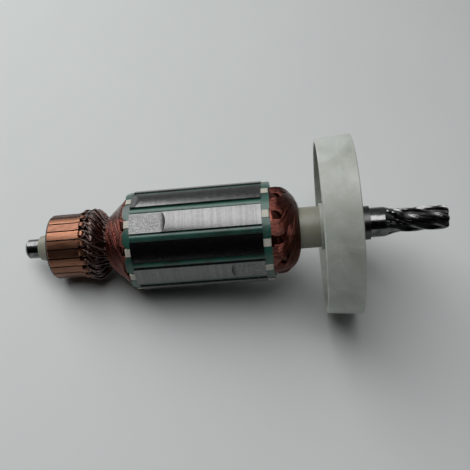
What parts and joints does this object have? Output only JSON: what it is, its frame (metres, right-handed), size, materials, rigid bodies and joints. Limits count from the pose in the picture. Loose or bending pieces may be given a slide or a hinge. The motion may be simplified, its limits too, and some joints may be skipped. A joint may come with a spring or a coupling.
{
  "type": "motor armature",
  "caption": "Wound armature of a brushed power tool motor: helical pinion shaft, slotted laminated core, hooked commutator and white ringed cooling fan.",
  "frame": {"origin": "on the shaft's axis, at the middle of the commutator-end bearing journal", "axes": "+X along the shaft from the commutator to the pinion, +Z through the middle of a slot and of a commutator bar"},
  "size_m": [0.173, 0.0724, 0.0724],
  "materials": {
    "steel": "ground and oiled, dark",
    "dark_steel": "blackened",
    "core_steel": "ground stack of sheets",
    "copper": "turned copper, tarnished in places",
    "enamelled_wire": "varnished enamelled copper wire",
    "green_fibre": "varnished vulcanised fibre",
    "white_plastic": "moulded",
    "cream_plastic": "moulded glass-filled",
    "fan_plastic": "natural nylon, slightly translucent",
    "black_moulding": "moulded phenolic"
  },
  "bodies": {
    "root": {"shaft": "steel", "shaft_insulation": "cream_plastic", "lamination_stack": "core_steel", "commutator_end_insulator": "white_plastic", "drive_end_insulator": "white_plastic", "slot_liner_01": "green_fibre", "slot_liner_02": "green_fibre", "slot_liner_03": "green_fibre", "slot_liner_04": "green_fibre", "slot_liner_05": "green_fibre", "slot_liner_06": "green_fibre", "slot_liner_07": "green_fibre", "slot_liner_08": "green_fibre", "slot_liner_09": "green_fibre", "slot_liner_10": "green_fibre", "slot_liner_11": "green_fibre", "slot_wedge_01": "green_fibre", "slot_wedge_02": "green_fibre", "slot_wedge_03": "green_fibre", "slot_wedge_04": "green_fibre", "slot_wedge_05": "green_fibre", "slot_wedge_06": "green_fibre", "slot_wedge_07": "green_fibre", "slot_wedge_08": "green_fibre", "slot_wedge_09": "green_fibre", "slot_wedge_10": "green_fibre", "slot_wedge_11": "green_fibre", "winding": "enamelled_wire", "commutator_moulding": "black_moulding", "commutator_bar_01": "copper", "commutator_bar_02": "copper", "commutator_bar_03": "copper", "commutator_bar_04": "copper", "commutator_bar_05": "copper", "commutator_bar_06": "copper", "commutator_bar_07": "copper", "commutator_bar_08": "copper", "commutator_bar_09": "copper", "commutator_bar_10": "copper", "commutator_bar_11": "copper", "commutator_bar_12": "copper", "commutator_bar_13": "copper", "commutator_bar_14": "copper", "commutator_bar_15": "copper", "commutator_bar_16": "copper", "commutator_bar_17": "copper", "commutator_bar_18": "copper", "commutator_bar_19": "copper", "commutator_bar_20": "copper", "commutator_bar_21": "copper", "commutator_bar_22": "copper", "cooling_fan": "fan_plastic", "fan_blades": "fan_plastic", "fan_ring": "fan_plastic", "bearing_stop_ring": "dark_steel"}
  },
  "joints": []
}
